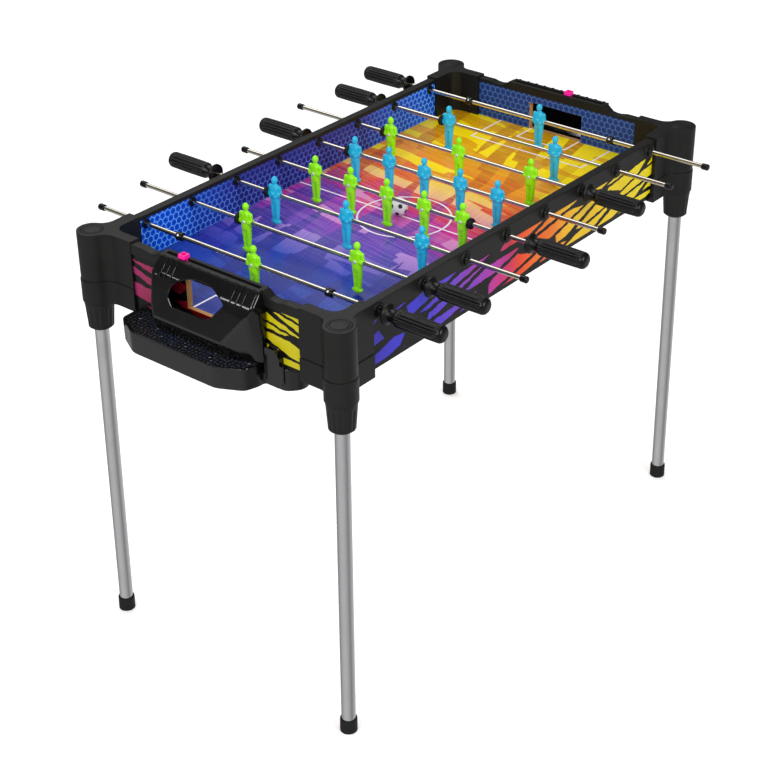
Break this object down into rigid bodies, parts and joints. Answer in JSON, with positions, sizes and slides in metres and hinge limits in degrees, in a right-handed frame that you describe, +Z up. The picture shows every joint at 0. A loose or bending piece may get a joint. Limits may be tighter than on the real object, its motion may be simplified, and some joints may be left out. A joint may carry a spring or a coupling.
{
  "type": "foosball table",
  "caption": "Small foosball table on tube legs: printed play box with sliding, turning player rods, goal boxes with trays, score sliders and a loose ball.",
  "frame": {"origin": "on the floor, under the middle of the table", "axes": "+X along the player rods, +Y along the table towards the far goal, +Z up"},
  "size_m": [0.848, 1.114, 0.8108],
  "materials": {
    "field": "smooth printed laminate",
    "side_panel": "printed laminate over fibreboard",
    "end_panel": "printed laminate over fibreboard",
    "moulding": "fine moulded grain",
    "gloss_moulding": "polished black",
    "leg_steel": "satin tube",
    "rod_chrome": "plated bar",
    "foot_rubber": "matt",
    "green_figure": "moulded, bright green",
    "blue_figure": "moulded, light blue",
    "handle": "soft-touch black",
    "bushing": "smooth black",
    "score_pink": "moulded pink",
    "ball_white": "white with black patches"
  },
  "bodies": {
    "table": {"playfield": "field", "side_panel_left": "side_panel", "side_panel_right": "side_panel", "side_rail_left": "moulding", "side_rail_right": "moulding", "end_panel_near": "end_panel", "end_rail_near": "moulding", "goal_housing_near": "gloss_moulding", "ball_tray_near": "gloss_moulding", "corner_near_left": "moulding", "corner_cap_near_left": "moulding", "leg_sleeve_near_left": "moulding", "leg_tube_near_left": "leg_steel", "foot_cap_near_left": "foot_rubber", "corner_near_right": "moulding", "corner_cap_near_right": "moulding", "leg_sleeve_near_right": "moulding", "leg_tube_near_right": "leg_steel", "foot_cap_near_right": "foot_rubber", "end_panel_far": "end_panel", "end_rail_far": "moulding", "goal_housing_far": "gloss_moulding", "ball_tray_far": "gloss_moulding", "corner_far_left": "moulding", "corner_cap_far_left": "moulding", "leg_sleeve_far_left": "moulding", "leg_tube_far_left": "leg_steel", "foot_cap_far_left": "foot_rubber", "corner_far_right": "moulding", "corner_cap_far_right": "moulding", "leg_sleeve_far_right": "moulding", "leg_tube_far_right": "leg_steel", "foot_cap_far_right": "foot_rubber"},
    "score_near": {"score_slider_near": "score_pink"},
    "score_far": {"score_slider_far": "score_pink"},
    "green_goalie_turn": {"green_goalie_bushing": "bushing"},
    "green_goalie": {"green_goalie_rod": "green_figure", "green_goalie_handle": "handle"},
    "green_defence_turn": {"green_defence_bushing": "bushing"},
    "green_defence": {"green_defence_rod": "green_figure", "green_defence_handle": "handle"},
    "blue_attack_turn": {"blue_attack_bushing": "bushing"},
    "blue_attack": {"blue_attack_rod": "blue_figure", "blue_attack_handle": "handle"},
    "green_midfield_turn": {"green_midfield_bushing": "bushing"},
    "green_midfield": {"green_midfield_rod": "green_figure", "green_midfield_handle": "handle"},
    "blue_midfield_turn": {"blue_midfield_bushing": "bushing"},
    "blue_midfield": {"blue_midfield_rod": "blue_figure", "blue_midfield_handle": "handle"},
    "green_attack_turn": {"green_attack_bushing": "bushing"},
    "green_attack": {"green_attack_rod": "green_figure", "green_attack_handle": "handle"},
    "blue_defence_turn": {"blue_defence_bushing": "bushing"},
    "blue_defence": {"blue_defence_rod": "blue_figure", "blue_defence_handle": "handle"},
    "blue_goalie_turn": {"blue_goalie_bushing": "bushing"},
    "blue_goalie": {"blue_goalie_rod": "blue_figure", "blue_goalie_handle": "handle"},
    "ball": {"ball": "ball_white"}
  },
  "joints": [
    {"name": "score_near_slide", "type": "slide", "parent": "table", "child": "score_near", "axis": [1, 0, 0], "range_m": [-0.0299, 0.1621]},
    {"name": "score_far_slide", "type": "slide", "parent": "table", "child": "score_far", "axis": [1, 0, 0], "range_m": [-0.12, 0.072]},
    {"name": "green_goalie_spin", "type": "hinge", "parent": "table", "child": "green_goalie_turn", "pos_m": [0.25, -0.399, 0.777], "axis": [1, 0, 0], "continuous": true},
    {"name": "green_goalie_slide", "type": "slide", "parent": "green_goalie_turn", "child": "green_goalie", "axis": [1, 0, 0], "range_m": [-0.008, 0.075]},
    {"name": "green_defence_spin", "type": "hinge", "parent": "table", "child": "green_defence_turn", "pos_m": [0.25, -0.285, 0.777], "axis": [1, 0, 0], "continuous": true},
    {"name": "green_defence_slide", "type": "slide", "parent": "green_defence_turn", "child": "green_defence", "axis": [1, 0, 0], "range_m": [-0.0053, 0.0915]},
    {"name": "blue_attack_spin", "type": "hinge", "parent": "table", "child": "blue_attack_turn", "pos_m": [-0.25, -0.171, 0.777], "axis": [1, 0, 0], "continuous": true},
    {"name": "blue_attack_slide", "type": "slide", "parent": "blue_attack_turn", "child": "blue_attack", "axis": [1, 0, 0], "range_m": [-0.0704, 0.0268]},
    {"name": "green_midfield_spin", "type": "hinge", "parent": "table", "child": "green_midfield_turn", "pos_m": [0.25, -0.057, 0.777], "axis": [1, 0, 0], "continuous": true},
    {"name": "green_midfield_slide", "type": "slide", "parent": "green_midfield_turn", "child": "green_midfield", "axis": [1, 0, 0], "range_m": [-0.0398, 0.0537]},
    {"name": "blue_midfield_spin", "type": "hinge", "parent": "table", "child": "blue_midfield_turn", "pos_m": [-0.25, 0.057, 0.777], "axis": [1, 0, 0], "continuous": true},
    {"name": "blue_midfield_slide", "type": "slide", "parent": "blue_midfield_turn", "child": "blue_midfield", "axis": [1, 0, 0], "range_m": [-0.066, 0.008]},
    {"name": "green_attack_spin", "type": "hinge", "parent": "table", "child": "green_attack_turn", "pos_m": [0.25, 0.171, 0.777], "axis": [1, 0, 0], "continuous": true},
    {"name": "green_attack_slide", "type": "slide", "parent": "green_attack_turn", "child": "green_attack", "axis": [1, 0, 0], "range_m": [-0.0053, 0.077]},
    {"name": "blue_defence_spin", "type": "hinge", "parent": "table", "child": "blue_defence_turn", "pos_m": [-0.25, 0.285, 0.777], "axis": [1, 0, 0], "continuous": true},
    {"name": "blue_defence_slide", "type": "slide", "parent": "blue_defence_turn", "child": "blue_defence", "axis": [1, 0, 0], "range_m": [-0.0965, 0.0101]},
    {"name": "blue_goalie_spin", "type": "hinge", "parent": "table", "child": "blue_goalie_turn", "pos_m": [-0.25, 0.399, 0.777], "axis": [1, 0, 0], "continuous": true},
    {"name": "blue_goalie_slide", "type": "slide", "parent": "blue_goalie_turn", "child": "blue_goalie", "axis": [1, 0, 0], "range_m": [-0.0932, 0.0278]},
    {"name": "ball_lift", "type": "slide", "parent": "table", "child": "ball", "axis": [0, 0, 1], "range_m": [0, 0.08]}
  ]
}
